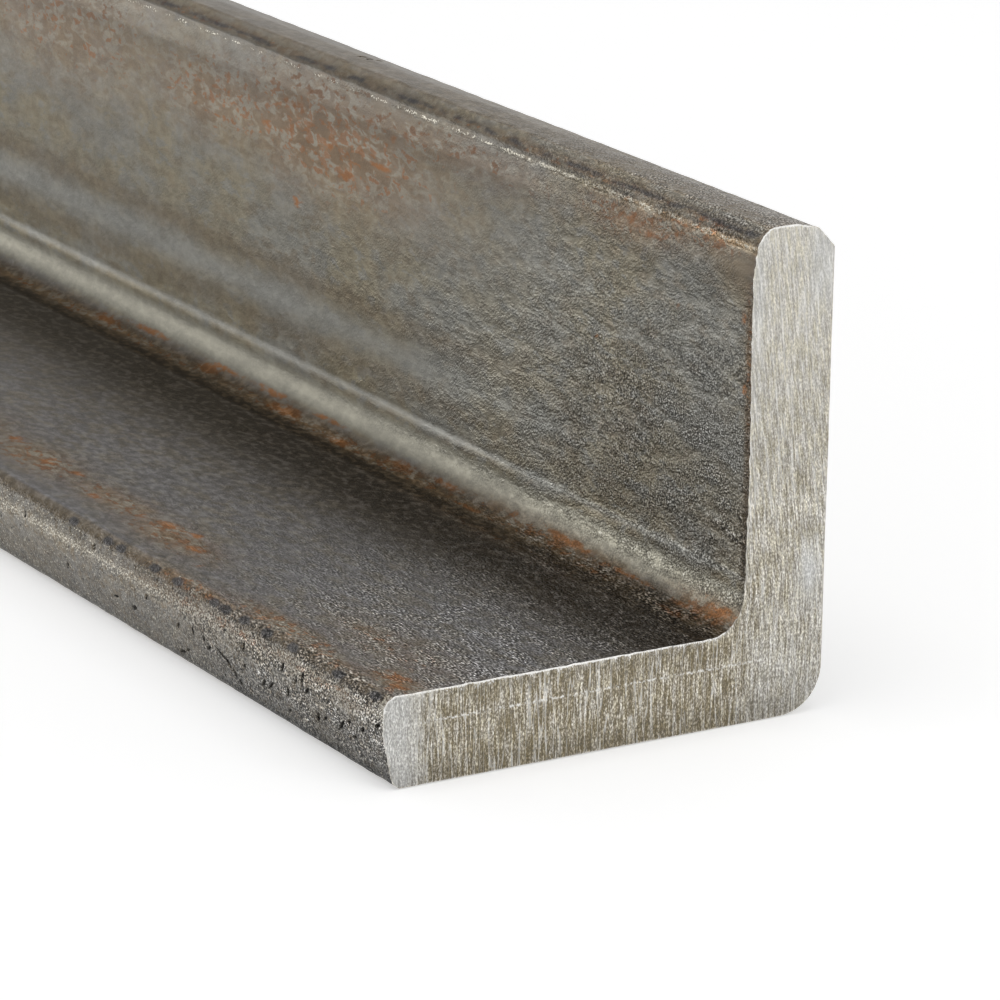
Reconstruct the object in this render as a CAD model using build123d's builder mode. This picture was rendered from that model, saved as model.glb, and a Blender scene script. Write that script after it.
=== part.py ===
from build123d import *
import os

# Rolled steel angle with equal legs: one leg lies flat, the other stands up.
# Millimetres. X runs along the bar, Y across it with the back face at +Y, Z up.
# The origin is under the middle of the bar, on the face that it lies on.

# Bar
length = 304.8              # cut length
leg_height = 50.8           # upright leg, underside to the top of its toe
leg_width = 50.8            # flat leg, back face to the end of its toe
thickness = 9.525           # both legs

# Corner between the legs
root_radius = 4.0           # inside corner
heel_radius = 4.8           # rounded outside corner

# Toe of the upright leg, pressed by the edging roll
inner_draw = 0.45           # how far the inner face leans back towards the toe
inner_draw_height = 3.5     # and over what height
inner_bevel = 1.5           # 45 degree bevel between inner face and toe
crown_fall = 0.6            # fall of the toe from mid-leg to the back bevel
back_bevel_width = 2.0      # bevel between toe and back face
back_bevel_height = 2.1

# Toe of the flat leg, upright at the top and leaning in towards the underside
toe_land = 2.2              # upright part of the toe face
toe_draft = 1.25            # how far the rest of it leans in

# Rounding of the toes
bevel_radius = 0.8
soft_radius = 3.5           # where a face only changes its slope
toe_top_radius = 1.7
toe_bottom_radius = 1.2

# Lines that the section is drawn to
back = leg_width / 2
toe = back - leg_width
inner_face = back - thickness
toe_inner_edge = inner_face + inner_draw
toe_back_edge = back - back_bevel_width
crown_inner_edge = toe_inner_edge + inner_bevel
crown_back_edge = back - thickness / 2
inner_bevel_foot = leg_height - inner_bevel
back_bevel_top = leg_height - crown_fall
draft_top = thickness - toe_top_radius - toe_land

# Corners of the section, each with the radius that rounds it: from the heel up
# the back face, over the toe of the upright leg, down to the root between the
# legs, out along the flat leg and round its toe.
section_corners = [
    ((back, 0), heel_radius),
    ((back, back_bevel_top - back_bevel_height), bevel_radius),
    ((toe_back_edge, back_bevel_top), bevel_radius),
    ((crown_back_edge, leg_height), soft_radius),
    ((crown_inner_edge, leg_height), bevel_radius),
    ((toe_inner_edge, inner_bevel_foot), bevel_radius),
    ((inner_face, inner_bevel_foot - inner_draw_height), soft_radius),
    ((inner_face, thickness), root_radius),
    ((toe, thickness), toe_top_radius),
    ((toe, draft_top), soft_radius),
    ((toe + toe_draft, 0), toe_bottom_radius),
]
points = [point for point, radius in section_corners]
radii = [radius for point, radius in section_corners]

with BuildPart() as steel_angle:
    with BuildSketch(Plane.YZ.offset(-length / 2)):
        with BuildLine():
            FilletPolyline(*points, radius=radii, close=True)
        make_face()
    extrude(amount=length)

steel_angle.part.label = "steel_angle"
os.makedirs("parts", exist_ok=True)
export_step(steel_angle.part, "parts/steel_angle.step")

section_area = steel_angle.part.volume / length
print(f"section {section_area:.1f} mm2, volume {steel_angle.part.volume:.0f} mm3")
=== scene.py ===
import math
from functools import partial, reduce

import bmesh
import bpy
import numpy as np
from mathutils import Matrix, Vector, noise
from mathutils.geometry import delaunay_2d_cdt


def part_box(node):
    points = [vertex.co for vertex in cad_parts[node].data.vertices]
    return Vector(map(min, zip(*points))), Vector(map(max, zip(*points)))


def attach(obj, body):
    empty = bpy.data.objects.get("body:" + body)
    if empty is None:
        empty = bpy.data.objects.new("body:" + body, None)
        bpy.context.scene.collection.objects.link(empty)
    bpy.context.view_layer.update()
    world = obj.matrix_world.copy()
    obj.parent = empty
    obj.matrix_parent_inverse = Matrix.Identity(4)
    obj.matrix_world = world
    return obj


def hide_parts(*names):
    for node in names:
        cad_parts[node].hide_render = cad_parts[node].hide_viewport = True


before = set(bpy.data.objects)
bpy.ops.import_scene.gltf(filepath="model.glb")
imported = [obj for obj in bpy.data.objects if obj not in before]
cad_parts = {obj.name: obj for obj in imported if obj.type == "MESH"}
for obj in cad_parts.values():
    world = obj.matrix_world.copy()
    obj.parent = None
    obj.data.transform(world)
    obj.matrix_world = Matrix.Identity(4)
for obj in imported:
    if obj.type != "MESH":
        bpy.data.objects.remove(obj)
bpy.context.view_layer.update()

# A length of hot rolled steel angle, sawn off at both ends, standing on a white studio floor.
# X runs along the bar, Y across it with the back face at +Y, Z up. Shapes are worked out in mm.

boxLow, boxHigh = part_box("steel_angle")
mm = 0.001
halfLength = boxHigh.x / mm
backFace = boxHigh.y / mm
flatToe = boxLow.y / mm
legHeight = boxHigh.z / mm


def rise(value, start, end):
    # 0 before start, 1 after end, and a smooth slope between them
    part = np.clip((value - start) / (end - start), 0, 1)
    return part * part * (3 - 2 * part)


def fall(value, start, end):
    return 1 - rise(value, start, end)


def hill(value, middle, width):
    return np.exp(-((value - middle) / width) ** 2)


def lumps(places, size, shift=0.0):
    # smooth noise from about -1 to 1, size being the spacing of its lumps in mm
    scaled = places / np.asarray(size) + shift
    return np.array([noise.noise(place) for place in scaled])


def roughLumps(places, size, shift=0.0, octaves=3):
    total = lumps(places, size, shift)
    for octave in range(1, octaves):
        total += lumps(places, np.asarray(size) / 2 ** octave, shift + 7.3 * octave) / 2 ** octave
    return total


section = {                  # mm, as in the CAD source
    "thickness": 9.525,
    "rootRadius": 4,
    "heelRadius": 4.8,
    "innerDraw": 0.45,       # inner face leans back below the bevel
    "innerDrawHeight": 3.5,
    "innerBevel": 1.5,
    "crownFall": 0.6,
    "backBevelWidth": 2,
    "backBevelHeight": 2.1,
    "toeLand": 2.2,
    "toeDraft": 1.25,
    "bevelRadius": 0.8,
    "softRadius": 3.5,
    "toeTopRadius": 1.7,
    "toeBottomRadius": 1.2,
    "stepRowsTop": 16.2,
}
innerFace = backFace - section["thickness"]
flatTop = section["thickness"]
bevelFoot = legHeight - section["innerBevel"]


def sectionCorners():
    # each corner: place, rounding, mesh step round it, mesh step on the run after it
    crownTop = legHeight - section["crownFall"]
    crownInner = innerFace + section["innerDraw"] + section["innerBevel"]
    draftTop = flatTop - section["toeTopRadius"] - section["toeLand"]
    soft = section["softRadius"]
    bevel = section["bevelRadius"]
    return [
        ((backFace, 0), section["heelRadius"], 0.5, 1.3),
        ((backFace, crownTop - section["backBevelHeight"]), bevel, 0.25, 0.3),
        ((backFace - section["backBevelWidth"], crownTop), bevel, 0.25, 0.3),
        ((backFace - section["thickness"] / 2, legHeight), soft, 0.3, 0.3),
        ((crownInner, legHeight), bevel, 0.2, 0.22),
        ((innerFace + section["innerDraw"], bevelFoot), bevel, 0.2, 0.4),
        ((innerFace, bevelFoot - section["innerDrawHeight"]), soft, 0.4, 0.7),
        ((innerFace, section["stepRowsTop"]), 0, 0, 0.28),                 # closer rows over the step
        ((innerFace, flatTop), section["rootRadius"], 0.3, 0.8),
        ((flatToe, flatTop), section["toeTopRadius"], 0.22, 0.3),
        ((flatToe, draftTop), soft, 0.3, 0.32),
        ((flatToe + section["toeDraft"], 0), section["toeBottomRadius"], 0.3, 1.3),
    ]


def roundedOutline(corners):
    # points round the section and the way out of the steel at each, as rows of y, z, outY, outZ
    rows = []
    for index, (corner, radius, roundStep, runStep) in enumerate(corners):
        here = Vector(corner)
        before = (Vector(corners[index - 1][0]) - here).normalized()
        after = (Vector(corners[(index + 1) % len(corners)][0]) - here).normalized()
        turn = math.pi - before.angle(after) if radius else 0
        reach = radius * math.tan(turn / 2)
        side = 1 if before.x * after.y - before.y * after.x < 0 else -1
        start = here + before * reach
        centre = start + Vector((before.y, -before.x)) * radius * side
        if not radius:
            rows.append((*here, after.y, -after.x))
        count = max(2, math.ceil(turn * radius / roundStep)) if radius else 0
        for step in range(count + 1 if radius else 0):
            spoke = Matrix.Rotation(side * turn * step / count, 2) @ (start - centre)
            out = spoke.normalized() * side
            rows.append((*(centre + spoke), *out))
        nextCorner, nextRadius = corners[(index + 1) % len(corners)][:2]
        ahead = Vector(corners[(index + 2) % len(corners)][0]) - Vector(nextCorner)
        nextTurn = after.angle(ahead.normalized()) if nextRadius else 0
        runStart = here + after * reach
        runEnd = Vector(nextCorner) - after * nextRadius * math.tan(nextTurn / 2)
        count = max(1, math.ceil((runEnd - runStart).length / runStep))
        for step in range(1, count):
            rows.append((*runStart.lerp(runEnd, step / count), after.y, -after.x))
    return np.array(rows)


outline = roundedOutline(sectionCorners())
closedOutline = np.vstack([outline, outline[:1]])
runs = np.linalg.norm(np.diff(closedOutline[:, :2], axis=0), axis=1)
around = np.concatenate([[0], np.cumsum(runs)])       # distance round the section to each point
print("section:", len(outline), "points,", round(around[-1], 1), "mm round")


def outlineAt(distance):
    # y, z, outY, outZ at each distance round the section
    row = np.array([np.interp(distance, around, column) for column in closedOutline.T]).T
    row[:, 2:] /= np.linalg.norm(row[:, 2:], axis=1)[:, None]
    return row


def distanceTo(y, z):
    # distance round the section of the surface nearest to y, z
    fine = np.linspace(0, around[-1], 4000)
    row = outlineAt(fine)
    return fine[np.argmin(np.hypot(row[:, 0] - y, row[:, 1] - z))]


toePits = {
    # marks on the rolled surface are placed in mm along the bar and round the section
    "depth": 0.34,
    "reach": 1.6,            # how far from its middle a pit still counts
    # x along, height on the toe face, length, width, lean of the pit
    "near": [
        (95.7, 3.3, 0.9, 0.3, 0.2), (99.7, 3.2, 0.9, 0.55, 0.3), (103.4, 5.6, 0.6, 0.3, 1.2),
        (109.6, 1.2, 0.9, 0.45, 0.2), (110, 4.4, 0.8, 0.3, 0.9), (111.1, 1.9, 0.6, 0.26, 0.3),
        (113.3, 4.8, 0.7, 0.34, 1.4), (115.6, 4.6, 0.6, 0.3, 1.2), (116.4, 3.8, 0.7, 0.35, 0.6),
        (119, 4, 1.3, 0.3, -0.5), (120.3, 3.4, 1, 0.38, -0.7), (121.4, 2.6, 0.8, 0.32, -0.8),
        (122.4, 1.8, 0.6, 0.26, -0.6), (124.3, 6.4, 0.8, 0.32, 1.4), (124, 4.1, 0.6, 0.3, 1),
        (127.8, 3.5, 0.9, 0.36, 0.9), (129.4, 3.7, 1.1, 0.28, 0.7), (132.3, 6.7, 0.7, 0.4, 1.3),
        (133, 4.1, 0.9, 0.32, 1.1), (135, 6, 0.6, 0.28, 1), (136.3, 6.8, 0.8, 0.4, 1.4),
        (137.3, 5.7, 0.8, 0.34, 0.8), (138.8, 3.2, 1, 0.42, 1.2), (140.3, 3.6, 0.6, 0.28, 0.6),
        (143.7, 4, 1.3, 0.36, 0.8), (145.6, 5, 0.6, 0.32, 0.9), (148.2, 5, 0.7, 0.36, 0.8),
        (151.2, 6.4, 0.7, 0.4, 0.4), (146.2, 3.5, 0.5, 0.25, 0.4), (132.6, 1.9, 0.6, 0.26, 0.7),
    ],
    "scattered": 40,         # more of them along the two toes and the far half
}


def pitPlaces():
    # x, distance round, half length, half width, lean
    pits = []
    for x, height, length, width, lean in toePits["near"]:
        pits.append((x, distanceTo(flatToe, height), 0.62 * length, 0.45 * width, -lean))
    chance = np.random.default_rng(7)
    toeFace = distanceTo(flatToe, flatTop / 2)
    tip = distanceTo(backFace - section["thickness"] / 2, legHeight)
    for _ in range(toePits["scattered"]):
        onToe = chance.random() < 0.75
        x = chance.uniform(-halfLength + 3, 94 if onToe else halfLength - 30)
        place = (toeFace if onToe else tip) + chance.normal(0, 1.6)
        pits.append((x, place, *map(chance.uniform, (0.3, 0.13, -1.5), (0.5, 0.2, 1.5))))
    return pits


# where the rust lies: half length along the bar, half width round it and strength come last in each mark
rustPatches = {
    "inner face": [          # x, z
        (68, 42.5, 22, 6.5, 1), (88, 46.3, 26, 2.2, 0.75), (42, 42, 18, 5, 0.7), (2, 44, 30, 8, 0.6),
        (128, 46.5, 8, 2, 0.85), (133, 47.1, 8, 1.8, 1), (142, 48, 9, 1.1, 0.8), (152, 38, 0.7, 12, 0.7),
        (-20, 44, 30, 3, 0.5), (-95, 35, 22, 9, 0.6),
    ],
    "flat leg": [            # x, y
        (65, -18.5, 10, 2.8, 0.8), (83, -18.2, 10, 2.4, 0.7), (97, -19, 9, 2.7, 0.85),
        (128, -22.8, 10, 1.5, 0.85), (134.5, -16.6, 6, 1.1, 0.7), (139, -23.6, 8, 0.9, 0.8),
        (148.6, -21.7, 5, 2, 1), (140, -17, 12, 4, 0.4), (36, -18, 18, 3.5, 0.8),
        (112, 10.5, 24, 1.6, 0.45), (-60, -15, 35, 6, 0.45),
    ],
    "root": [                # x, y, height over the flat leg
        (118, 14, 0.8, 17, 1.3, 0.8), (75, 13.3, 0.4, 32, 1.1, 0.75), (10, 13.1, 0.3, 45, 1.1, 0.6),
        (148, 14.5, 1.1, 7, 1.4, 1), (112, -24.6, -0.3, 11, 1, 0.8),
    ],
    "elsewhere": [           # x, y, z
        (120, flatToe, 7.6, 20, 0.9, 0.45), (142, flatToe, 7.4, 10, 0.8, 0.5),
        (115, innerFace + 1, 49.5, 34, 0.6, 0.55), (40, innerFace + 1.2, 49.6, 40, 0.7, 0.5),
        (60, backFace, 12, 40, 6, 0.5), (-70, backFace, 38, 45, 7, 0.55), (120, backFace, 40, 18, 6, 0.5),
        (20, 0, 0, 60, 9, 0.4), (-110, -10, 0, 26, 6, 0.55), (-130, backFace - 4, legHeight, 14, 3, 0.6),
    ],
}
rustSpots = {                # the brightest of it
    "inner face": [
        (71.8, 38.8, 1.6, 0.8, 1), (60.5, 33.4, 1.1, 0.7, 0.95), (67.6, 41.2, 2.2, 0.55, 0.8),
        (79.6, 41.3, 2.4, 0.5, 0.8), (59.2, 41.2, 1.5, 0.8, 0.55), (53.6, 40.7, 1.4, 0.8, 0.6),
        (63.8, 46.4, 1.6, 0.7, 0.5), (77.5, 46, 1.3, 0.6, 0.6), (82.3, 45.2, 1, 0.5, 0.6),
        (98.4, 47.4, 1, 0.6, 0.7), (69.7, 33.9, 0.6, 0.4, 0.55), (123.7, 32.9, 0.5, 0.4, 0.55),
        (130, 47, 2.4, 1, 0.5), (133.4, 46.2, 1.6, 0.8, 0.5), (138.3, 47.2, 0.8, 0.5, 0.7),
        (139, 39.8, 0.5, 0.3, 0.5), (150.8, 41.4, 0.5, 0.7, 0.7), (151, 34.3, 0.5, 0.6, 0.7),
        (60, 44.3, 4, 1.6, 0.45),
    ],
    "flat leg": [
        (56.8, -17.3, 1.3, 0.9, 0.7), (66.7, -18.1, 1.6, 0.8, 0.8), (72.3, -17.2, 1.3, 0.6, 0.8),
        (80.2, -19.4, 1.7, 0.8, 0.7), (93.5, -17.4, 2, 0.8, 0.95), (98.2, -16.8, 1.6, 0.7, 0.85),
        (102, -18.8, 1.8, 0.8, 0.8), (89, -18.4, 1.2, 0.8, 0.6), (107, -21.2, 1.2, 0.6, 0.6),
        (147.2, -20.9, 2, 0.7, 0.95), (149.6, -22.2, 1.6, 0.6, 0.8), (136, -22, 1.6, 0.5, 0.5),
    ],
    "root": [
        (121, 14.6, 1.1, 4.5, 0.5, 0.9), (133, 14.4, 0.9, 6, 0.35, 0.6), (149.5, 14.9, 1.4, 3.2, 0.8, 0.8),
        (146, 14.2, 0.8, 5, 0.4, 0.7), (144, 13, 0.3, 3, 0.5, 0.7), (128, 13.1, 0.3, 5, 0.4, 0.5),
        (104, 13.1, 0.3, 6, 0.4, 0.5), (18, 13.7, 0.5, 3.5, 0.8, 0.7), (27, 14.6, 1.1, 6, 0.5, 0.6),
        (43.5, 14, 0.6, 2.4, 0.9, 0.85), (46.5, 14.6, 1.1, 5, 0.45, 0.6), (57.5, 14.7, 1.1, 4, 0.5, 0.65),
        (62.5, 13.6, 0.4, 4, 0.85, 0.95), (71, 14.7, 1.2, 5, 0.4, 0.55), (75.5, 13.2, 0.25, 2.8, 0.8, 0.8),
        (88, 13.9, 0.6, 4, 0.7, 0.65), (97, 14.3, 0.8, 4, 0.5, 0.65),
    ],
    "elsewhere": [
        (144, innerFace + 0.7, 49.6, 4.5, 0.4, 0.55), (126, innerFace + 0.8, 49.7, 3, 0.4, 0.4),
    ],
}


def paintOver(x, distance, marks):
    # the strongest of the soft oval marks that lie over each point
    placed = [(markX, innerFace, markZ, *rest) for markX, markZ, *rest in marks["inner face"]]
    placed += [(markX, markY, flatTop, *rest) for markX, markY, *rest in marks["flat leg"]]
    placed += [(markX, markY, flatTop + above, *rest) for markX, markY, above, *rest in marks["root"]]
    paint = np.zeros(len(x))
    for markX, markY, markZ, long, wide, strength in placed + marks["elsewhere"]:
        offset = distance - distanceTo(markY, markZ)
        spread = np.exp(-((x - markX) / long) ** 2 - (offset / wide) ** 2)
        paint = np.maximum(paint, strength * spread)
    return paint


bar = {
    # the mesh starts as a flat sheet, x along by distance round, that is rolled up into the section
    "stepsFromCut": ([0, 3, 50, 110, 200], [0.17, 0.7, 0.7, 1.4, 2.2]),    # mm from the cut, ring spacing
    "stepsFromFarCut": ([0, 4, 30], [0.2, 0.8, 2.2]),
    "waviness": 0.035,       # mm, as all the depths below
    "ripple": 0.01,
    "leastDepth": 0.004,
    "rootStep": 0.24,        # the upright's inner face sits further back above a step over the root
    "bandSlope": 0.12,       # and goes on back over the smooth band
    "toeInset": 0.04,
    "toeLean": 0.18,         # the toe leans back below its worn top corner
    "edgeWear": 0.14,
    "lipDepth": 0.1,         # how far the scale stops short of the cut
    "rimWidth": 0.17,
    "burr": 0.12,            # how far the saw dragged the edge out
}


def ringPlaces():
    places = [halfLength - bar["lipDepth"]]
    while places[-1] > -halfLength + 0.35:
        near = np.interp(halfLength - places[-1], *bar["stepsFromCut"])
        far = np.interp(halfLength + places[-1], *bar["stepsFromFarCut"])
        places.append(places[-1] - min(near, far))
    places[-1] = -halfLength + bar["lipDepth"]
    return np.array(places)


paintedValues = (
    "rust orange pit pores blue brown dark spots bare grain tone combed soft cream plum dull rim khaki smooth"
).split()


def flatSheet(pits):
    sheet = bmesh.new()
    for name in paintedValues:
        sheet.verts.layers.float.new(name)
    rings = ringPlaces()
    columns = len(outline)
    grid = [[sheet.verts.new((x, place, 0)) for place in around[:-1]] for x in rings]
    for here, there in zip(grid, grid[1:]):
        for column in range(columns):
            following = (column + 1) % columns
            sheet.faces.new((here[column], there[column], there[following], here[following]))
    sheet.faces.ensure_lookup_table()
    pitted = set()
    for x, place, long, wide, lean in pits:
        row = int(np.searchsorted(-rings, -x)) - 1
        column = int(np.searchsorted(around, place)) - 1
        spanX = int(np.ceil(long * 1.1 / abs(rings[row] - rings[row + 1])))
        spanRound = int(np.ceil(long * 1.1 / runs[column]))
        for r in range(max(2, row - spanX), min(len(rings) - 4, row + spanX) + 1):
            for c in range(max(1, column - spanRound), min(columns - 2, column + spanRound) + 1):
                pitted.add(r * columns + c)
    edges = {edge for index in pitted for edge in sheet.faces[index].edges}
    bmesh.ops.subdivide_edges(sheet, edges=list(edges), cuts=3, use_grid_fill=True)
    return sheet, len(rings)


def surfaceDepth(x, distance, rows, pits):
    # how far each point lies under the drawn section, and how deep it is in a pit
    y, z, outY, outZ = rows.T
    places = np.array([x, y, z]).T
    depth = bar["waviness"] * np.maximum(1 + roughLumps(places, (24, 7, 7), 3.1), 0)
    depth += bar["ripple"] * (1 + roughLumps(places, (2.6, 1.5, 1.5), 11.7, 2))
    inner = rise(-outY, 0.8, 0.97) * (y > innerFace - 1)
    fading = 1 - 0.5 * rise(x, 110, 148)
    swayed = z + 0.25 * lumps(places * (1, 0, 0), 30, 2.2)
    backSet = bar["rootStep"] * fading * (0.7 + 0.3 * rise(x, 60, 110)) * rise(swayed, 14.1, 15.5)
    backSet += bar["bandSlope"] * fading * rise(swayed, 19.3, 23.2)
    depth += inner * backSet * fall(z, 28, 44)
    toe = rise(-outY, 0, 0.7) * (y < flatToe + 3)
    depth += toe * (bar["toeInset"] + bar["toeLean"] * rise(z, 5.4, 9))
    for cornerY, cornerZ, share in (
        (flatToe, flatTop, 1),
        (flatToe + section["toeDraft"], 0, 0.45),
        (innerFace + section["innerDraw"], bevelFoot, 0.5),
        (innerFace + 2, legHeight, 0.6),
        (backFace - section["backBevelWidth"], legHeight, 0.5),
        (backFace, legHeight - section["backBevelHeight"], 0.5),
    ):
        near = hill(np.hypot(y - cornerY, z - cornerZ), 0, 1.3)
        depth += bar["edgeWear"] * share * near * (0.6 + 0.8 * roughLumps(places, (2.2, 1, 1), 5.5))
    pitShade = np.zeros(len(x))
    for pitX, place, long, wide, lean in pits:
        reach = toePits["reach"]
        close = np.flatnonzero((abs(x - pitX) < reach) & (abs(distance - place) < reach))
        alongX = x[close] - pitX
        alongRound = distance[close] - place
        u = (alongX * math.cos(lean) + alongRound * math.sin(lean)) / long
        v = (alongRound * math.cos(lean) - alongX * math.sin(lean)) / wide
        bowl = np.exp(-(u * u + v * v) ** 2)
        depth[close] += toePits["depth"] * bowl
        pitShade[close] = np.maximum(pitShade[close], bowl)
    return np.maximum(depth, bar["leastDepth"]), pitShade


def paintPoints(body, vertices, values):
    for name, amounts in values.items():
        layer = body.verts.layers.float[name]
        for vertex, amount in zip(vertices, amounts):
            vertex[layer] = amount


def rollUp(sheet, pits):
    # gives every point of the sheet its place on the bar, and the values that the materials read
    x, distance = np.array([vertex.co[:2] for vertex in sheet.verts]).T
    rows = outlineAt(distance)
    depth, pitShade = surfaceDepth(x, distance, rows, pits)
    y = rows[:, 0] - rows[:, 2] * depth
    z = rows[:, 1] - rows[:, 3] * depth
    paintPoints(sheet, sheet.verts, {
        "rust": paintOver(x, distance, rustPatches),
        "orange": paintOver(x, distance, rustSpots),
        "pit": pitShade,
        **surfaceTints(x, rows),
    })
    for vertex, place in zip(sheet.verts, np.array([x, y, z]).T * mm):
        vertex.co = place
    bmesh.ops.triangulate(sheet, faces=[face for face in sheet.faces if len(face.verts) > 4])


edgeLines = {                # y, z of lines along the bar that its scale changes at
    "shoulder": (innerFace + 0.37, bevelFoot - 0.72),
    "underBevel": (innerFace + 0.5, bevelFoot + 0.05),
    "bevel": (innerFace + 0.92, legHeight - 1.04),
    "overBevel": (innerFace + 1.75, legHeight - 0.2),
    "toeSpots": (flatToe + 0.6, flatTop - 0.45),
    "toeCorner": (flatToe + 0.6, flatTop - 0.7),
    "backCorner": (backFace, legHeight - section["backBevelHeight"]),
    "underCorner": (flatToe + section["toeDraft"], 0),
}
darkSpots = {                # x of the dark spots over the flat leg's toe, and x, y of those behind it
    "overToe": (85.5, 93.5, 96.4, 104, 109, 117, 119.4, 123.3, 128, 133.2, 142.5, 149.7),
    "behind": ((102.7, -22.7), (104.7, -22.6), (108.5, -23.3), (109.8, -22.4)),
}


def surfaceParts(x, rows):
    # how far each point belongs to each part of the surface, and how far it is from each edge line
    y, z, outY, outZ = rows.T
    places = np.array([x, y, z]).T
    angle = np.degrees(np.arctan2(outZ, -outY))            # 0 on the inner face, 90 on the flat leg
    toe = rise(-outY, 0.3, 0.8) * (y < flatToe + 3)
    rounding = (y < flatToe + 2.2) * rise(angle, 22, 40) * fall(y, flatToe + 1.2, flatToe + 1.7)
    near = rise(x, 95, 125)
    parts = dict(
        x=x, y=y, z=z, angle=angle, toe=toe, rounding=rounding, near=near,
        toFar=fall(x, 60, 140),
        atCut=rise(x, 150.9, 151.9),
        inner=rise(-outY, 0.8, 0.97) * (y > innerFace - 1),
        upright=rise(-outY, 0.1, 0.5) * (y > innerFace - 5),
        top=rise(outZ, 0.6, 0.95) * (z < flatTop + 2) * (z > flatTop - 2) * (y < innerFace),
        tip=rise(outZ, 0.6, 0.95) * (z > bevelFoot),
        plain=rise(outY, 0.8, 0.97) + rise(-outZ, 0.8, 0.97),      # the back and the underside
        fillet=(z < flatTop + 4.5) * (z > flatTop - 1) * (y > innerFace - 5) * (y < innerFace + 1),
        band=toe * hill(z, 6.8 + 0.6 * near, 0.5 + 0.4 * near) * (1 - rounding),
        patches=rise(lumps(places, (2.6, 1.2, 1.2), 8.8), -0.35, 0.25),
        beads=rise(lumps(places, 0.8, 4.4), -0.3, 0.3) * (1 - 0.3 * rise(x, 140, 144)),
        rollMarks=lumps(places, (50, 1.7, 1.7), 6.1),
        clouding=lumps(places, (38, 3.1, 3.1), 2.7),
    )
    for name, (lineY, lineZ) in edgeLines.items():
        parts[name] = np.hypot(y - lineY, z - lineZ)
    return parts


# each of these takes the parts that it needs by their names

def blueShare(x, z, inner, toFar, **rest):
    blue = 0.9 * toFar * hill(z, 21.3, 2) + 0.45 * hill(x, 107, 18) * hill(z, 31, 11)
    # the narrow share at 15 mm tints the painted highlight line over the root step
    return inner * (blue + 0.5 * hill(x, 146, 9) * hill(z, 31, 12) + 0.8 * hill(z, 15, 0.4))


def brownShare(x, y, z, inner, top, toe, tip, fillet, angle, rounding, bevel, atCut, toFar, **rest):
    brown = 0.5 * (0.3 + 0.7 * toFar) * hill(z, 18, 1.4) + hill(x, 151, 5) * hill(z, 46.5, 2.6)
    brown += 0.7 * toFar * hill(z, 24.8, 1.3) + 1.3 * atCut * rise(z, 14, 18)
    rimWidth = 2 + 9 * rise(z, 43, 48.5)               # the brown rim beside the cut widens to the tip
    brown += 0.9 * hill(x, 152, rimWidth) * rise(z, 40, 45)
    brown = inner * brown + 0.3 * toe + 0.5 * top * rise(y, -4, 8) + 0.7 * tip
    return brown + 1.1 * fillet * rise(angle, 48, 76) + 0.9 * rounding + 0.4 * hill(bevel, 0, 0.9)


def shadeAndDarkScale(y, inner, top, fillet, angle, rounding, bevel, patches, atCut, **rest):
    # painted shade: darker over the flat leg towards the root corner, over the lower fillet and on the toe's
    # top rounding, with a thin darker line near the toe; dark scale in patches on the bevel and on the inner
    # face at the cut
    dark = 1.02 * rise(y, -10, 8) * (1 - 0.42 * rise(y, 9.5, 11.9)) + 0.15 * hill(y, flatToe + 2.6, 0.5)
    dark = top * dark + fillet * (0.36 * rise(angle, 68, 90) + 0.24 * hill(angle, 58, 12))
    return dark + hill(bevel, 0, 0.5) * (0.1 + 0.25 * patches) + 0.15 * rounding + 0.5 * atCut * inner


def spotShare(x, y, z, bevel, patches, toeSpots, **rest):
    spots = 0.62 * hill(bevel, 0, 0.5) * patches
    for spotX in darkSpots["overToe"]:
        spots = np.maximum(spots, 1.25 * hill(x, spotX, 1.1) * hill(toeSpots, 0, 0.6))
    for spotX, spotY in darkSpots["behind"]:
        spots = np.maximum(spots, hill(x, spotX, 1) * hill(y, spotY, 0.35) * (z > flatTop - 1))
    return spots


def bareAndGlintShare(x, y, top, toe, tip, rounding, band, shoulder, beads, near, **rest):
    # bare steel with painted glints and highlights: glinting beads along the shoulder as a painted highlight
    # line, a painted highlight band along the flat leg's toe, glints over the toe face and the tip, and thin
    # glints over the leg's top
    bare = (0.7 + 0.3 * rise(x, 60, 100) + 0.4 * near) * hill(shoulder, 0, 0.28) * (0.35 + 0.8 * beads)
    bare += 0.42 * toe * (1 - rounding) + 0.32 * band + 0.15 * tip
    thin = (0.2 + 0.18 * near) * (1 - 0.5 * rise(-y, 6, 14)) * (1 - 0.35 * rise(y, -2, 6))
    return bare + top * (thin + 0.2 * hill(y, flatToe + 1.85, 0.35))


def grainShare(blue, x, y, z, inner, top, toe, tip, fillet, toFar, **rest):
    # how coarse the pebbled grain is: most near the cut, least on the blue band and the fillet
    grain = inner * (1.2 - 0.84 * rise(z, 26, 42)) + 2.2 * toe + 1.3 * tip + 1.6 * top
    grain -= 0.8 * top * hill(y, flatToe + 3.2, 2.8) + 0.55 * inner * fall(z, 13.5, 18.5)
    grain = np.maximum(grain, 0.34 * fillet + 0.8 * (y < innerFace + 4) * (z > bevelFoot - 1))
    nearby = np.interp(x, (20, 60, 85, 107, 125, 150), (0.05, 0.1, 0.17, 0.42, 1.35, 1.85))
    grain = np.where(grain > 0.3, grain * nearby, 0.9)
    grain -= 0.35 * blue * toFar + 0.7 * inner * hill(x, 152, 6) * hill(z, 46.5, 2.6)
    return np.maximum(grain, 0.05)


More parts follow.
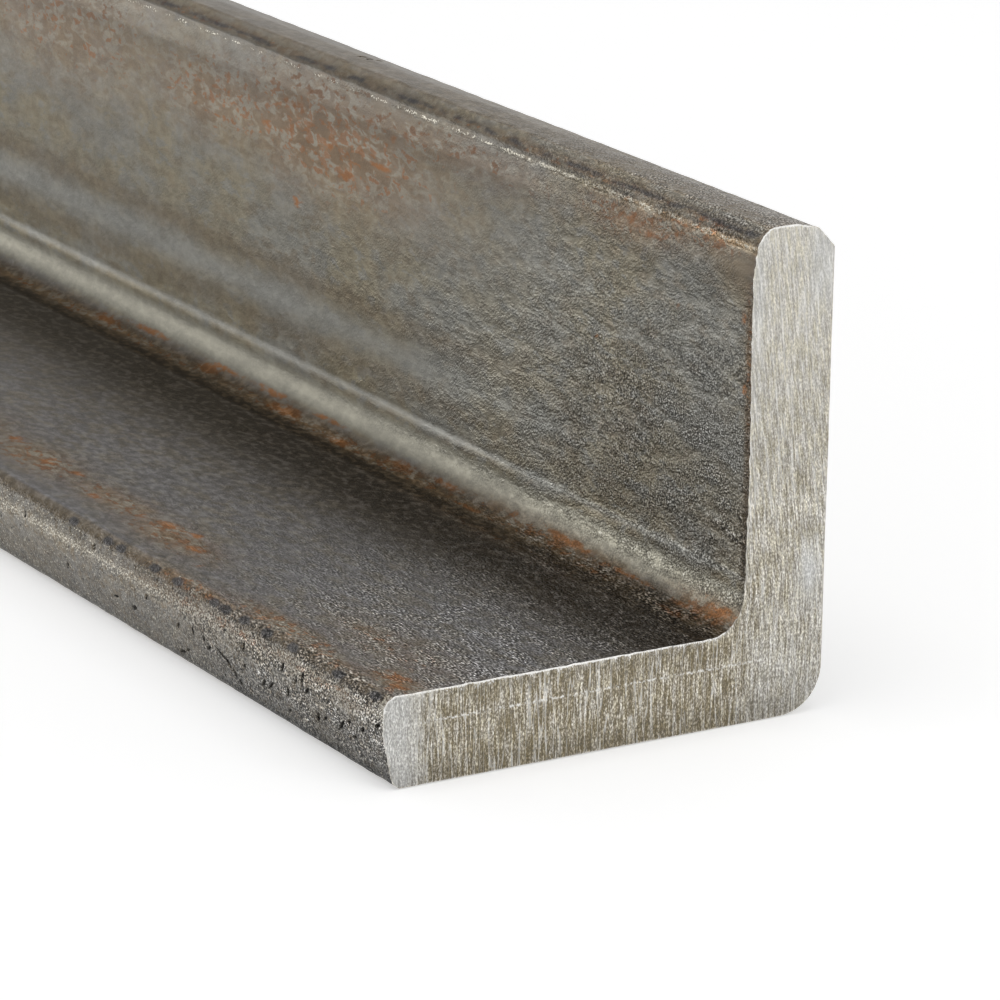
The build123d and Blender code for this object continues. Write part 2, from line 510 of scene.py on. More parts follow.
def toeTone(x, z, toe, band, near, toFar, **rest):
    # painted shade and highlight on the flat leg's toe: darker towards the floor and under its top corner,
    # lighter on the far part and in a painted highlight band below that corner, with two pale smears
    tone = 0.2 * toFar * hill(z, 6.2, 1.2) - 0.12 * rise(x, 110, 140) * fall(z, 3, 5)
    tone -= 0.06 + 0.34 * fall(z, 0.5, 6) + 0.06 * rise(z, 6.5, 8)
    tone -= 0.27 * (1 - near) * hill(z, 8, 0.7) + (0.3 + 0.22 * near) * fall(z, 0.6, 1.8)
    tone += 0.5 * hill(x, 146.5, 2.6) * hill(z, 6.3, 0.25) + 0.35 * hill(x, 128.5, 1.2) * hill(z, 6.6, 0.5)
    return toe * tone + band * (0.2 - 0.02 * near)


def legTone(x, y, top, tip, shoulder, underBevel, overBevel, near, toFar, **rest):
    # over the flat leg, the upright's tip and the edges of its bevel: painted highlights along the shoulder
    # and the tip's inner edge, painted shade just under the bevel, and lighter and darker bands over the flat
    # leg and the tip
    tone = 0.24 + near * (0.14 * hill(y, flatToe + 1.9, 0.6) - 0.13 * hill(y, -9, 6)) - 0.06 * hill(y, -20, 5)
    tone = top * tone + tip * (0.33 - 0.29 * toFar) + 0.35 * hill(overBevel, 0, 0.55)
    tone += hill(shoulder, 0, 0.32) * (0.95 * near + 1.5 * rise(x, 139, 146))
    return tone - 0.32 * hill(underBevel, 0, 0.28) * (1 - near)


def rootHighlightsAndShade(x, z, upright, fillet, angle, near, **rest):
    # painted highlight and shade lines along the foot of the upright, and a painted highlight on the lit side
    # of the fillet
    pale = 0.12 * hill(z, 13.5, 2.2) + 0.8 * hill(z, 15.2, 0.45) + 0.6 * hill(z, 12.8, 0.5)
    dark = 0.6 * rise(x, 50, 72) * hill(z, 14.4, 0.35) + 0.2 * hill(z, 12.2, 0.9)
    tone = rise(x, 105, 125) * pale - fall(x, 100, 120) * dark
    tone += 0.15 * hill(z, 13.6, 0.35) + 0.15 * (1 - near) * hill(z, 16.2, 0.5)
    lit = 0.28 * rise(angle, 8, 20) * fall(angle, 30, 44)
    lit += 0.45 * rise(x, 115, 128) * (1 - 0.4 * rise(x, 139, 145)) * hill(angle, 15, 9)
    lit += hill(angle, 30, 8) * (0.12 * rise(x, 132, 137) - 0.08 * hill(x, 128, 5))
    return upright * tone + fillet * lit


def innerTone(x, z, inner, near, **rest):
    tone = (0.11 + 0.05 * fall(x, 112, 138)) * fall(z, 36, 44)
    tone += 0.18 * fall(z, 22, 26) * fall(x, 90, 130)
    tone += 0.08 * near * (hill(z, 31, 7) - 1.5 * rise(z, 38, 43))
    return inner * (tone - 0.40 * rise(z, 41, 47.5) * (1 - 0.6 * rise(x, 100, 118)))


def plainFaces(tints, plain, rollMarks, clouding, backCorner, underCorner, beads, **rest):
    # faint streaks along the back and the underside, and worn edges, painted lighter as a highlight
    tints["blue"] += 0.55 * plain * rise(rollMarks, 0.05, 0.55)
    tints["brown"] += 0.5 * plain * rise(-rollMarks, 0.05, 0.55)
    wornEdgeShine = (hill(backCorner, 0, 0.5) + 0.7 * hill(underCorner, 0, 0.7)) * beads
    tints["bare"] += 0.3 * wornEdgeShine
    tints["tone"] += 0.5 * wornEdgeShine + 0.10 * plain * clouding


def surfaceTints(x, rows):
    # shares of blue and brown scale, of dark (painted shade in the root corner and over the lower fillet, and
    # dark scale on the bevel), of bare steel with painted glints and highlights, how coarse the grain is, and
    # a last tone that also carries painted highlights and shade
    parts = surfaceParts(x, rows)
    y, z, angle, top, toe, tip, fillet = map(parts.get, ("y", "z", "angle", "top", "toe", "tip", "fillet"))
    fringe = rise(x, 149.6, 151.6) * hill(parts["toeCorner"], 0, 1.2)       # torn by the saw
    blue = blueShare(**parts)
    tints = dict(
        blue=blue,
        brown=brownShare(**parts),
        dark=shadeAndDarkScale(**parts),
        spots=spotShare(**parts),
        bare=bareAndGlintShare(**parts) + 0.9 * fringe,
        grain=grainShare(blue, **parts),
        tone=1 + 0.5 * fringe + sum(tone(**parts) for tone in (toeTone, legTone, rootHighlightsAndShade, innerTone)),
        pores=toe + 0.7 * tip * rise(x, 100, 125) * hill(y, innerFace + 2.6, 1.6),
        combed=top,
        soft=fillet * rise(angle, 5, 15),
        # a paler cream tint over the lit band of the fillet, partly a painted highlight
        cream=fillet * fall(angle, 34, 46) * fall(z, 13.2, 14.2),
        plum=np.clip(0.85 * top + 0.25 * toe + 0.4 * tip, 0, 1),
        dull=np.clip(top * rise(y, -4, 7) + 0.5 * fillet * rise(angle, 60, 85), 0, 1),
    )
    plainFaces(tints, **parts)
    return tints


saw = {
    "grooveSpacing": 0.19,   # mm across the grooves in the mesh
    "grooveRun": 1.5,        # and along them
    "grooveDepth": 0.03,
    "lean": 0.13,            # how the grooves lean to the back as they go down the upright leg
    "leanFrom": 14,          # mm above the floor, below which they stand straight
    "rimDepth": 0.006,
    "rimGap": 0.1,           # to the first points inside the rim
    "rimFade": 0.45,         # how bright the rim still is on its inner side
    "leastDepth": 0.008,     # inside the rim
    "scoreHeight": 6.4,      # where the saw was stopped and started again
    "scoreDepth": 0.04,
}


def leanAt(z):
    # how far a groove has moved to the front at this height
    return saw["lean"] * np.maximum(z - saw["leanFrom"], 0)


def cutPoints(rim):
    # points inside the rim, in rows along the saw grooves
    across = np.arange(flatToe, backFace + 5.5, saw["grooveSpacing"])
    along = np.arange(0.5, legHeight, saw["grooveRun"])
    score = saw["scoreHeight"] + np.array([-0.14, 0, 0.14])
    along = np.sort(np.concatenate([along[abs(along - saw["scoreHeight"]) > 0.4], score]))
    groove, z = [values.ravel() for values in np.meshgrid(across, along)]
    z = z + np.where(np.round(groove / saw["grooveSpacing"]) % 2 == 0, 0, saw["grooveRun"] / 2.2)
    y = groove - leanAt(z)
    inside = []
    for place in zip(y, z):
        offset = np.array(place) - rim[:, :2]
        nearest = np.argmin((offset ** 2).sum(axis=1))
        inside.append(offset[nearest] @ rim[nearest, 2:] < -0.2)
    return np.array([y, z]).T[inside]


def placesOf(ring):
    return np.array([vertex.co for vertex in ring]) / mm


def cutFace(body, ring, side):
    # fills one end, a rim round it first, and gives it the relief of a saw cut
    places = placesOf(ring)
    width = np.maximum(bar["rimWidth"] * (1 + 0.7 * lumps(places, 0.6, 21.0 * side)), 0.05)[:, None]
    rim = np.hstack([places[:, 1:] - outline[:, 2:] * width, outline[:, 2:]])
    withinRim = rim[::2, :2] - saw["rimGap"] * rim[::2, 2:]
    flatPoints = [Vector(place) for place in np.vstack([rim[:, :2], withinRim, cutPoints(rim)])]
    loop = list(range(len(rim)))
    rimEdges = list(zip(loop, loop[1:] + loop[:1]))
    filled, _, triangles, sources = delaunay_2d_cdt(flatPoints, rimEdges, [loop], 1, 1e-5)[:4]
    places = np.array([place[:] for place in filled])
    onRim = np.array([any(index < len(rim) for index in source) for source in sources])
    depth = np.where(onRim, saw["rimDepth"], cutDepth(places, side))
    corners = np.column_stack([side * (halfLength - depth), places]) * mm
    vertices = [body.verts.new(corner) for corner in corners]
    paintPoints(body, vertices, {
        "rim": np.where(onRim, saw["rimFade"] * rimHighlight(places), 0),
        "khaki": cutTint(places),
        "smooth": cutCalm(places),
        "dull": cutShade(places),
    })
    paintPoints(body, ring, {"rim": rimHighlight(outline[:, :2])})
    rimVertices = {index: vertex for vertex, source in zip(vertices, sources) for index in source}
    faces = [[vertices[index] for index in triangle] for triangle in triangles]
    faces += [[ring[here], ring[after], rimVertices[after], rimVertices[here]] for here, after in rimEdges]
    for face in faces:
        body.faces.new(face if side > 0 else face[::-1]).material_index = 1
    return [rimVertices[index] for index in loop]


def rimHighlight(places):
    # the saw left a burred edge, painted bright as a highlight along the flat leg's top and over the
    # upright's tip, and little elsewhere, with a bright lump at the inner corner of the bevel
    y, z = places.T
    flatEdge = (z > flatTop - 1.6) * (z < flatTop + 1) * (y < innerFace - 2) * (0.55 + 0.45 * hill(y, -5, 12))
    toeEdge = 0.35 * hill(y, flatToe, 1.2) * (z < flatTop)
    tipEdge = rise(z, legHeight - 2.2, legHeight - 0.6) * fall(y, backFace - 4, backFace - 2)
    innerEdge = 0.30 * hill(y, innerFace, 0.8) * rise(z, 13, 24)
    lump = hill(np.hypot(y - innerFace - 1.1, z - bevelFoot - 0.75), 0, 0.55)
    return np.clip(flatEdge + toeEdge + 0.9 * tipEdge + innerEdge + lump, 0, 1)


def cutTint(places):
    # how khaki the sawn steel has gone: most along the flat leg, hardly at the two toes
    y, z = places.T
    flatLeg = rise(y, -22.8, -16.2) * fall(y, 10, 20) * fall(z, 9, 18)
    upright = 0.33 * fall(z, 16, 46) + 0.08 + 0.24 * fall(z, 8, 11)
    stain = 0.35 * hill(y, 17.1, 0.5) * hill(z, 13.6, 1.2)
    underside = 0.16 * hill(z, 0, 1.6)
    return 0.84 * flatLeg + upright * (1 - flatLeg) + underside + stain


def cutShade(places):
    # the darker parts of the cut: along its foot, under the top of the flat leg and low in the upright
    y, z = places.T
    foot = 0.22 * fall(z, 1.2, 3) + 0.12 * rise(y, 14, 17) * fall(z, 4.5, 6)
    waist = 0.07 * rise(y, 15, 17) * hill(z, 11.5, 2) + 0.06 * rise(z, 22, 26) * fall(z, 35, 38)
    underTop = 0.15 * rise(z, 7.8, 9) * rise(y, -20, -17) * fall(y, 10, 12) * (z < flatTop)
    toe = 0.06 * fall(y, flatToe + 4, flatToe + 9)
    return foot + waist + underTop + toe


def cutCalm(places):
    # where the cut is smooth and bluish: the flat leg's toe, behind the tip and one patch low at the back
    y, z = places.T
    toe = 0.85 * fall(y, flatToe + 2, flatToe + 6.5)
    tip = 0.7 * rise(y, 21.5, 23.5) * rise(z, 40, 45)
    patch = hill(y, 23.6, 1.4) * hill(z, 14.8, 3.6)
    front = 0.6 * hill(y, innerFace + 0.7, 0.9) * rise(z, 28, 42)
    heel = 0.4 * rise(y, 14, 18) * fall(z, 8, 11)
    return np.clip(np.maximum.reduce([toe, tip, patch, front, heel]), 0, 1)


def cutDepth(places, side):
    y, z = places.T
    groove = y + leanAt(z)
    streaks = np.array([groove / 0.42, z / 5, np.full(len(y), 40.0 * side)]).T
    broad = np.array([groove / 2.5, z / 9, np.full(len(y), 80.0 * side)]).T
    rough = 1 - 0.7 * cutCalm(places)
    depth = saw["grooveDepth"] * (1.1 + rough * (lumps(streaks, 1) + 0.5 * lumps(broad, 1)))
    stops = (0.5 + 0.5 * lumps(streaks * (1, 0, 1), 1, 9)) * hill(z, saw["scoreHeight"], 0.16)
    depth += saw["scoreDepth"] * stops * fall(y, 14, 20) * rise(y, flatToe, flatToe + 2.2)
    return np.maximum(depth, saw["leastDepth"])


def dragBurr(vertex, wayOut, side):
    # the saw left the cut's edge ragged and dragged out a little, and a lump at the near end's inner corner
    x, y, z = vertex.co / mm
    outY, outZ = wayOut
    teeth = max(0, 0.5 + 1.7 * noise.noise(Vector((side * 11, y / 0.38, z / 0.38))))
    burr = bar["burr"] * teeth * max(-outY, 0.6 * outZ, 0)
    burr += 0.28 * math.exp(-((y - flatToe - 0.5) ** 2 + (z - flatTop + 0.6) ** 2) / 0.8)
    if side > 0:
        burr += 0.12 * math.exp(-((y - innerFace - 1.2) ** 2 + (z - bevelFoot - 0.8) ** 2) / 0.3)
    y = max(y + burr * outY, flatToe + 0.012)
    z = min(z + burr * outZ, legHeight - 0.03)
    vertex.co = Vector((x, y, z)) * mm


def placeInScene(name, data):
    piece = bpy.data.objects.new(name, data)
    bpy.context.collection.objects.link(piece)
    return piece


def meshPiece(name, sheet):
    mesh = bpy.data.meshes.new(name)
    sheet.to_mesh(mesh)
    sheet.free()
    return placeInScene(name, mesh)


def makeBar():
    pits = pitPlaces()
    sheet, ringCount = flatSheet(pits)
    print("sheet:", len(sheet.verts), "points,", len(pits), "pits")
    rollUp(sheet, pits)
    for first, side in ((0, 1), ((ringCount - 1) * len(outline), -1)):
        sheet.verts.ensure_lookup_table()
        ring = [sheet.verts[first + index] for index in range(len(outline))]
        ragged = bar["lipDepth"] * (0.35 + 0.3 * (1 + lumps(placesOf(ring), 0.8, 31.0 * side)))
        for vertex, lip, row in zip(ring, ragged, outline):
            vertex.co.x = side * (halfLength - lip) * mm
            dragBurr(vertex, row[2:], side)
        rim = cutFace(sheet, ring, side)
        for loop in (ring, rim):
            for start, end in zip(loop, loop[1:] + loop[:1]):
                sheet.edges.get((start, end)).smooth = False
    for face in sheet.faces:
        face.smooth = True
    bmesh.ops.recalc_face_normals(sheet, faces=sheet.faces)
    piece = meshPiece("angle_bar", sheet)
    piece.data.calc_loop_triangles()
    print("bar:", len(piece.data.loop_triangles), "triangles")
    return piece


def startNodes(owner):
    # the functions below add their nodes to the material or world that was started last
    global tree
    owner.use_nodes = True
    tree = owner.node_tree
    tree.nodes.clear()
    return owner


def addNode(kind, inputs=None, **settings):
    # adds a node, links or sets its inputs, and gives back its outputs
    node = tree.nodes.new("ShaderNode" + kind)
    for name, value in settings.items():
        setattr(node, name, value)
    for name, value in (inputs or {}).items():
        if isinstance(value, bpy.types.NodeSocket):
            tree.links.new(value, node.inputs[name])
        else:
            node.inputs[name].default_value = value
    return node.outputs


def addShader(kind, output, inputs):
    addNode(output, {0: addNode(kind, inputs)[0]})


def addPrincipled(height, distance, inputs):
    # the material's shader, with bumps of a height between 0 and about 1 that is distance m at its most
    bump = addNode("Bump", {"Strength": 1, "Distance": distance, "Height": height})
    inputs["Normal"] = bump[0]
    addShader("BsdfPrincipled", "OutputMaterial", inputs)


def maths(operation, first, second=0, third=0):
    return addNode("Math", {0: first, 1: second, 2: third}, operation=operation)[0]


def plus(*values):
    return reduce(partial(maths, "ADD"), values)


def times(*values):
    return reduce(partial(maths, "MULTIPLY"), values)


timesPlus = partial(maths, "MULTIPLY_ADD")
minus = partial(maths, "SUBTRACT")
larger = partial(maths, "MAXIMUM")
smaller = partial(maths, "MINIMUM")


def stretch(vector, amounts):
    return addNode("VectorMath", {0: vector, 1: amounts}, operation="MULTIPLY")[0]


def noiseAt(vector, scale, detail=2, roughness=0.5, warp=0):
    inputs = {"Vector": vector, "Scale": scale, "Detail": detail, "Roughness": roughness, "Distortion": warp}
    return addNode("TexNoise", inputs)[0]


def ramp(value, low, high, start=0, end=1):
    inputs = {"Value": value, "From Min": low, "From Max": high, "To Min": start, "To Max": end}
    return addNode("MapRange", inputs, interpolation_type="SMOOTHSTEP")[0]


def blend(share, first, second, mode="MIX"):
    inputs = {0: share, 6: first, 7: second}
    return addNode("Mix", inputs, data_type="RGBA", blend_type=mode)[2]


def shade(colour, amount):
    return addNode("VectorMath", {0: colour, 3: amount}, operation="SCALE")[0]


def mixed(share, first, second):
    return addNode("Mix", {0: share, 2: first, 3: second})[0]


def shift(vector, noiseValue, amount):
    # moves the places where a texture is read by a noise, so that its shapes are uneven
    offset = timesPlus(noiseValue, amount, -amount / 2)
    moved = addNode("CombineXYZ", {0: offset, 1: offset, 2: times(offset, -1)})
    return addNode("VectorMath", {0: vector, 1: moved[0]}, operation="ADD")[0]


def painted(name):
    return addNode("Attribute", attribute_name=name)["Fac"]


def inMillimetres():
    places = addNode("TexCoord")["Object"]
    return stretch(places, (1000, 1000, 1000))


scale = {                    # linear colours of the rolled surface
    "olive": (0.208, 0.183, 0.127, 1),
    "coolGrey": (0.19, 0.188, 0.17, 1),
    "plumGrey": (0.176, 0.172, 0.184, 1),
    # partly a painted highlight on the fillet
    "cream": (0.225, 0.214, 0.172, 1),
    "brown": (0.15, 0.115, 0.07, 1),
    # dark scale, and the colour of the painted shade in the root corner and over the lower fillet
    "dark": (0.024, 0.017, 0.01, 1),
    "pitDark": (0.01, 0.008, 0.007, 1),
    "spot": (0.04, 0.04, 0.045, 1),
    # bare steel, also the colour of the painted glints and highlights
    "bare": (0.66, 0.62, 0.52, 1),
    "rustTan": (0.205, 0.132, 0.072, 1),
    "rustPale": (0.31, 0.305, 0.255, 1),
    "rustDeep": (0.15, 0.092, 0.04, 1),
    "rustBright": (0.33, 0.142, 0.048, 1),
    "grainSpread": 0.5,      # how far the pebbled grain darkens and lightens the colour
    "grainHeight": 0.0002,   # m
    "roughness": 0.38,
    "metallic": 0.55,
}


def scaleTextures():
    # noises of several sizes, most of them drawn out along the bar, and the painted values used most
    places = inMillimetres()
    drawnOut = stretch(places, (0.5, 1, 1))
    grained = stretch(places, (0.85, 1, 1))
    combedOut = stretch(places, (0.4, 1, 1))
    slanted = addNode("Mapping", {
        "Vector": places, "Rotation": (0, -0.67, 0), "Scale": (1.7, 1, 1),
    }, vector_type="TEXTURE")[0]
    combed = painted("combed")
    grain = painted("grain")
    cloud = noiseAt(drawnOut, 0.45, 4, 0.65, 0.2)
    return dict(
        places=places, combed=combed, grain=grain, cloud=cloud,
        rusty=painted("rust"),
        porous=painted("pores"),
        drift=noiseAt(drawnOut, 0.12, 3, 0.55),
        tinge=noiseAt(drawnOut, 0.7, 3, 0.6, 0.3),
        mottle=noiseAt(drawnOut, 0.9, 2, 0.5, 0.5),
        blobs=noiseAt(stretch(places, (0.6, 1, 1)), 1.25, 2, 0.5, 0.3),
        freckles=noiseAt(grained, 1.15, 3, 0.65, 0.4),
        ridges=noiseAt(slanted, 3.7, 2, 0.6),
        sparks=noiseAt(grained, 4.6, 1, 0.5),
        pebbles=mixed(combed, noiseAt(grained, 3.9, 2, 0.6), noiseAt(combedOut, 4.2, 2, 0.6)),
        specks=mixed(combed, noiseAt(grained, 5.4, 0), noiseAt(combedOut, 5.8, 0)),
        coarse=times(grain, ramp(cloud, 0.36, 0.62, 0.4, 1.3)),
    )


def coated(colour, *coats):
    # lays one colour of the scale after another over the first, each by its share
    for share, name in coats:
        colour = blend(share, colour, scale[name])
    return colour


def plainScale(drift, tinge, freckles, blobs, porous, **rest):
    return coated(
        scale["olive"],
        (ramp(drift, 0.4, 0.6, 0, 0.75), "coolGrey"),
        (ramp(tinge, 0.52, 0.64, 0, 0.45), "brown"),
        (ramp(tinge, 0.36, 0.47, 0.7, 0), "coolGrey"),
        (painted("blue"), "coolGrey"),
        (times(painted("plum"), ramp(tinge, 0.45, 0.6, 1, 0.55)), "plumGrey"),
        (painted("cream"), "cream"),
        (times(ramp(freckles, 0.52, 0.62, 0, 0.9), porous), "brown"),
        (times(ramp(freckles, 0.34, 0.45, 0.7, 0), porous), "coolGrey"),
        (times(painted("brown"), ramp(blobs, 0.35, 0.6, 0.75, 1)), "brown"),
    )


def rustShares(mottle, blobs, pebbles, grain, rusty, **rest):
    # pale and deep mottling, and bright flecks and spots
    bumps = times(minus(pebbles, 0.5), smaller(grain, 1.2))
    mottle = timesPlus(bumps, 0.3, mottle)
    pale = times(ramp(mottle, 0.47, 0.56), rusty)
    deep = times(ramp(mottle, 0.38, 0.47, 1, 0), rusty)
    flecks = plus(times(mottle, 0.45), times(blobs, 0.75), times(rusty, 0.16))
    flecks = times(ramp(flecks, 0.73, 0.82), ramp(rusty, 0.1, 0.5))
    orange = painted("orange")
    spots = plus(orange, times(minus(blobs, 0.5), 1.9), bumps)
    spots = times(ramp(spots, 0.15, 0.75), ramp(orange, 0.05, 0.4))
    return pale, deep, larger(times(flecks, 0.65), times(spots, 0.9))


def grainedColour(colour, pebbles, specks, coarse, grain, blobs, combed, cloud, **rest):
    contrast = plus(ramp(pebbles, 0.3, 0.7, -0.5, 0.5), ramp(specks, 0.25, 0.75, -1.5, 1.5))
    contrast = times(contrast, coarse, scale["grainSpread"])
    lumpy = times(ramp(grain, 0.05, 0.2, 0.4, 1), ramp(grain, 0.4, 1.2, 1, 0.6), timesPlus(combed, 0.7, 1))
    contrast = timesPlus(ramp(blobs, 0.3, 0.7, 0.3, -0.3), lumpy, contrast)
    contrast = plus(contrast, ramp(cloud, 0.32, 0.68, 0.16, -0.22))
    grey = addNode("RGBToBW", {0: colour})[0]
    colour = blend(ramp(contrast, 0.25, 1.2, 0, 0.5), colour, grey)
    return shade(colour, times(maths("POWER", 2, contrast), painted("tone")))


# painted glints: sparse bright specks where the noises run high, more of them where the bare share is high
def glintShare(bare, pebbles, sparks, rusty, **rest):
    glints = timesPlus(pebbles, 0.2, plus(times(bare, 0.36), sparks))
    glints = ramp(minus(glints, times(rusty, 0.08)), 0.86, 0.97)
    return times(glints, smaller(timesPlus(bare, 1.4, 0.04), 0.85))


def poreShare(places, specks, blobs, porous, **rest):
    # pin holes, in some of the cells of a pattern that lies over each face
    across = addNode("SeparateXYZ", {0: shift(places, plus(specks, blobs), 1.1)})
    flat = addNode("CombineXYZ", {0: times(across[0], 0.9), 1: plus(across[1], across[2])})
    inputs = {"Vector": flat[0], "Scale": 1.25}
    cells = addNode("TexVoronoi", inputs, voronoi_dimensions="2D")
    picked = addNode("SeparateXYZ", {0: cells["Color"]})[0]
    return times(ramp(cells["Distance"], 0.06, 0.14, 1, 0), ramp(picked, 0.5, 0.55), porous)


def pitDepth(pebbles, specks, **rest):
    # the modelled pits, with a ragged edge
    pit = painted("pit")
    ragged = minus(timesPlus(pebbles, 1.6, specks), 1.3)
    return timesPlus(times(ragged, ramp(pit, 0.005, 0.12)), 1.5, pit)


def reliefHeight(pore, pebbles, ridges, specks, blobs, freckles, coarse, grain, combed, porous, **rest):
    height = plus(
        times(mixed(combed, ridges, pebbles), coarse, 1.5),
        times(blobs, ramp(grain, 0.05, 0.4, 0.04, 0.15)),
        times(freckles, porous, 1.2),
        times(specks, coarse, 0.4),
    )
    return minus(height, pore)


def scaleMaterial():
    material = startNodes(bpy.data.materials.new("rolled mill scale"))
    textures = scaleTextures()
    rusty, cloud, blobs, grain = map(textures.get, ("rusty", "cloud", "blobs", "grain"))
    pale, deep, orange = rustShares(**textures)
    # painted shade and dark scale, broken up by the blobs
    shadeAndDarkScale = times(painted("dark"), ramp(blobs, 0.35, 0.55, 0.75, 1))
    colour = coated(
        plainScale(**textures),
        (smaller(times(rusty, ramp(cloud, 0.3, 0.55, 0.75, 1.15)), 1), "rustTan"),
        (times(pale, 0.7), "rustPale"),
        (times(deep, 0.75), "rustDeep"),
        (orange, "rustBright"),
        (times(shadeAndDarkScale, timesPlus(rusty, -0.35, 1)), "dark"),
        (times(ramp(plus(painted("spots"), times(blobs, 0.6)), 0.5, 1.05), 0.85), "spot"),
    )
    pore = poreShare(**textures)
    pit = pitDepth(**textures)
    # a painted highlight round the rims of the pits
    fringe = times(ramp(pit, 0.05, 0.12), ramp(pit, 0.15, 0.25, 1, 0))
    colour = coated(
        grainedColour(colour, **textures),
        # painted glints in the bare steel colour
        (glintShare(painted("bare"), **textures), "bare"),
        (times(fringe, 0.3), "bare"),
        (times(larger(pore, ramp(pit, 0.18, 0.34)), 0.95), "pitDark"),
    )
    roughness = timesPlus(ramp(textures["pebbles"], 0.3, 0.7, 0.05, -0.05), grain, scale["roughness"])
    roughness = plus(roughness, times(orange, 0.3), times(painted("soft"), 0.14))
    addPrincipled(reliefHeight(pore, **textures), scale["grainHeight"], {
        "Base Color": colour, "Roughness": roughness,
        "Metallic": minus(scale["metallic"], times(larger(orange, deep), 0.3)),
        "Specular IOR Level": timesPlus(painted("dull"), -0.42, 0.5),
    })
    return material


sawn = {
    "bright": (0.562, 0.542, 0.502, 1),
    "khaki": (0.225, 0.192, 0.132, 1),
    "calm": (0.545, 0.545, 0.535, 1),
    "ridge": (0.72, 0.71, 0.68, 1),
    # the painted highlight along the cut's rim, and the white of the stop lines
    "rim": (0.84, 0.83, 0.8, 1),
    "stain": (1, 0.98, 0.89, 1),
    "metallic": 0.85,
    "grooveHeight": 0.00007,                                  # m
    "stopLines": ((6.4, 0.9), (22.8, 0.35), (44.3, 0.3)),     # height in mm, and how bright
}


def sawnMaterial():
    material = startNodes(bpy.data.materials.new("sawn steel"))
    places = inMillimetres()
    along, sideways, height = addNode("SeparateXYZ", {0: places})
    across = plus(sideways, times(larger(minus(height, saw["leanFrom"]), 0), saw["lean"]))

    def drawnNoise(draw, fineness, detail=2, roughness=0.6):
        vector = addNode("CombineXYZ", {0: along, 1: across, 2: times(height, draw)})
        return noiseAt(vector[0], fineness, detail, roughness)

    blotches = drawnNoise(0.3, 0.8)
    threads = drawnNoise(0.08, 4.2)
    ridges = drawnNoise(0.05, 1.5, 1, 0.4)
    grit = drawnNoise(0.5, 6.4, 2, 0.65)
    dotted = noiseAt(places, 2.6, 3, 0.7)
    calm = painted("smooth")
    tint = painted("khaki")
    bare = minus(1, calm)
    share = plus(ramp(threads, 0.28, 0.72, -0.7, 0.7), ramp(blotches, 0.3, 0.7, -0.3, 0.3))
    share = plus(share, ramp(grit, 0.3, 0.7, -0.5, 0.5))
    share = timesPlus(share, times(ramp(tint, 0, 0.7, 0.2, 0.62), bare), times(tint, bare))
    share = smaller(larger(share, 0), 1)
    colour = blend(calm, sawn["bright"], sawn["calm"])
    colour = blend(share, colour, sawn["khaki"])
    stained = times(ramp(drawnNoise(0.3, 1.7, 3), 0.42, 0.6), bare)
    colour = blend(stained, colour, sawn["stain"], "MULTIPLY")
    ridge = ramp(maths("ABSOLUTE", minus(ridges, 0.5)), 0, 0.03, 1, 0)
    colour = blend(times(ridge, ramp(grit, 0.35, 0.6, 0.15, 0.9)), colour, sawn["ridge"])
    speckle = times(ramp(grit, 0.3, 0.7, 0.7, -0.7), ramp(tint, 0.1, 0.6, 0.45, 1))
    streak = times(plus(ramp(threads, 0.3, 0.7, 0.26, -0.26), speckle), ramp(calm, 0, 1, 1, 0.75))
    streak = timesPlus(painted("dull"), -1.5, streak)
    colour = shade(colour, maths("POWER", 2, streak))
    wobble = ramp(threads, 0.2, 0.8, -0.12, 0.12)
    for stopHeight, strength in sawn["stopLines"]:
        offset = maths("ABSOLUTE", plus(minus(height, stopHeight), wobble))
        dots = times(ramp(dotted, 0.46, 0.62), ramp(threads, 0.3, 0.5, 0.4, 1))
        fade = ramp(across, 15, 21, 1, 0.25) if stopHeight < flatTop else 1.0
        fade = times(fade, ramp(calm, 0.3, 0.85, 1, 0.55))
        line = times(ramp(offset, 0.04, 0.22, 1, 0), dots, fade, strength)
        colour = blend(line, colour, sawn["rim"])
    # the painted highlight along the cut's rim
    edge = plus(painted("rim"), ramp(grit, 0.3, 0.7, -0.3, 0.3))
    colour = blend(ramp(edge, 0.22, 0.6), colour, sawn["rim"])
    relief = minus(plus(times(ridge, 0.3), threads), times(grit, 0.5))
    addPrincipled(relief, sawn["grooveHeight"], {
        "Base Color": colour, "Roughness": ramp(grit, 0.3, 0.7, 0.36, 0.5), "Metallic": sawn["metallic"],
    })
    return material


floor = {
    "halfSize": 3,           # m
    "drop": 0.00005,         # below the bar, so that the two never touch
    "colour": (0.82, 0.82, 0.82, 1),
    "roughness": 0.7,
    "lift": 0.42,            # extra white that only the camera and reflections see
}


def floorMaterial():
    material = startNodes(bpy.data.materials.new("white studio floor"))
    ray = addNode("LightPath")
    seen = larger(ray["Is Camera Ray"], larger(ray["Is Glossy Ray"], ray["Is Transmission Ray"]))
    addShader("BsdfPrincipled", "OutputMaterial", {
        "Base Color": floor["colour"], "Roughness": floor["roughness"],
        "Emission Color": (1, 1, 1, 1), "Emission Strength": times(seen, floor["lift"]),
    })
    return material


def makeFloor():
    sheet = bmesh.new()
    bmesh.ops.create_grid(sheet, x_segments=12, y_segments=12, size=floor["halfSize"])
    piece = meshPiece("studio_floor", sheet)
    piece.data.materials.append(floorMaterial())
    piece.location.z = -floor["drop"]


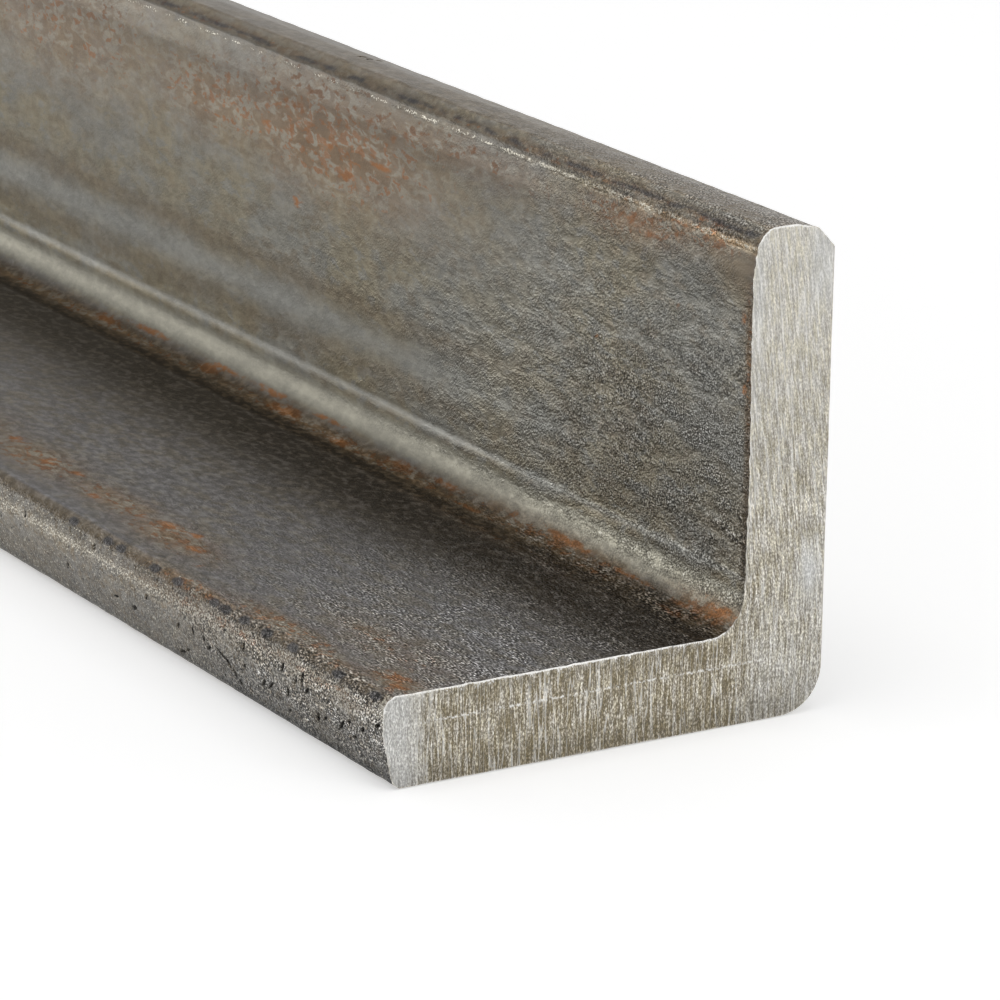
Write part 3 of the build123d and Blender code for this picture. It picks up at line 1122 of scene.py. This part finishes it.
lamps = {
    # place in m from the point that they face, width and height in m, power in W
    "far left softbox": ((-0.9, -0.6, 0.06), (0.8, 0.16), 1.45),
    "top softbox": ((0.1, -0.2, 1.1), (0.9, 0.7), 3),
    "front softbox": ((0.95, 0.35, 0.45), (0.5, 0.5), 1.5),
}


def makeLamps():
    middle = Vector((0.08, 0, 0.02))     # m, the point that they all face
    for name, (place, size, power) in lamps.items():
        lamp = bpy.data.lights.new(name, "AREA")
        lamp.shape = "RECTANGLE"
        lamp.size, lamp.size_y = size
        lamp.energy = power
        holder = placeInScene(name, lamp)
        holder.location = middle + Vector(place)
        holder.rotation_euler = (-Vector(place)).to_track_quat("-Z", "Y").to_euler()
        holder.visible_camera = False


sky = {
    "horizon": (1, 1, 1, 1),
    "zenith": (0.42, 0.42, 0.42, 1),
}


def makeSky():
    bpy.context.scene.world = startNodes(bpy.data.worlds.new("white tent"))
    direction = addNode("TexCoord")["Generated"]
    height = addNode("SeparateXYZ", {0: direction})[2]
    colour = blend(ramp(height, 0.15, 0.6), sky["horizon"], sky["zenith"])
    addShader("Background", "OutputWorld", {"Color": colour, "Strength": 1.0})


camera = {
    "place": (0.5785254, -0.2716973, 0.1805091),
    "lookAlong": (-0.816909, 0.496631, -0.293287),
    "up": (-0.258553, 0.139222, 0.955912),
    "lens": 196.35,          # mm, on a 36 mm sensor
}


def makeCamera():
    lens = bpy.data.cameras.new("studio camera")
    lens.lens = camera["lens"]
    lens.sensor_width = 36
    lens.clip_start = 0.01
    back = -Vector(camera["lookAlong"]).normalized()
    right = Vector(camera["up"]).cross(back).normalized()
    up = back.cross(right)
    turn = Matrix((right, up, back)).transposed().to_4x4()
    holder = placeInScene("studio_camera", lens)
    holder.matrix_world = Matrix.Translation(camera["place"]) @ turn
    bpy.context.scene.camera = holder


for leftOver in ("Cube", "Light", "Camera"):
    if leftOver in bpy.data.objects:
        bpy.data.objects.remove(bpy.data.objects[leftOver])

angleBar = makeBar()
angleBar.data.materials.append(scaleMaterial())
angleBar.data.materials.append(sawnMaterial())
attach(angleBar, "root")
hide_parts("steel_angle")
print("materials made")

makeFloor()
makeLamps()
makeSky()
makeCamera()
bpy.context.scene.view_settings.view_transform = "Standard"
print("studio made")
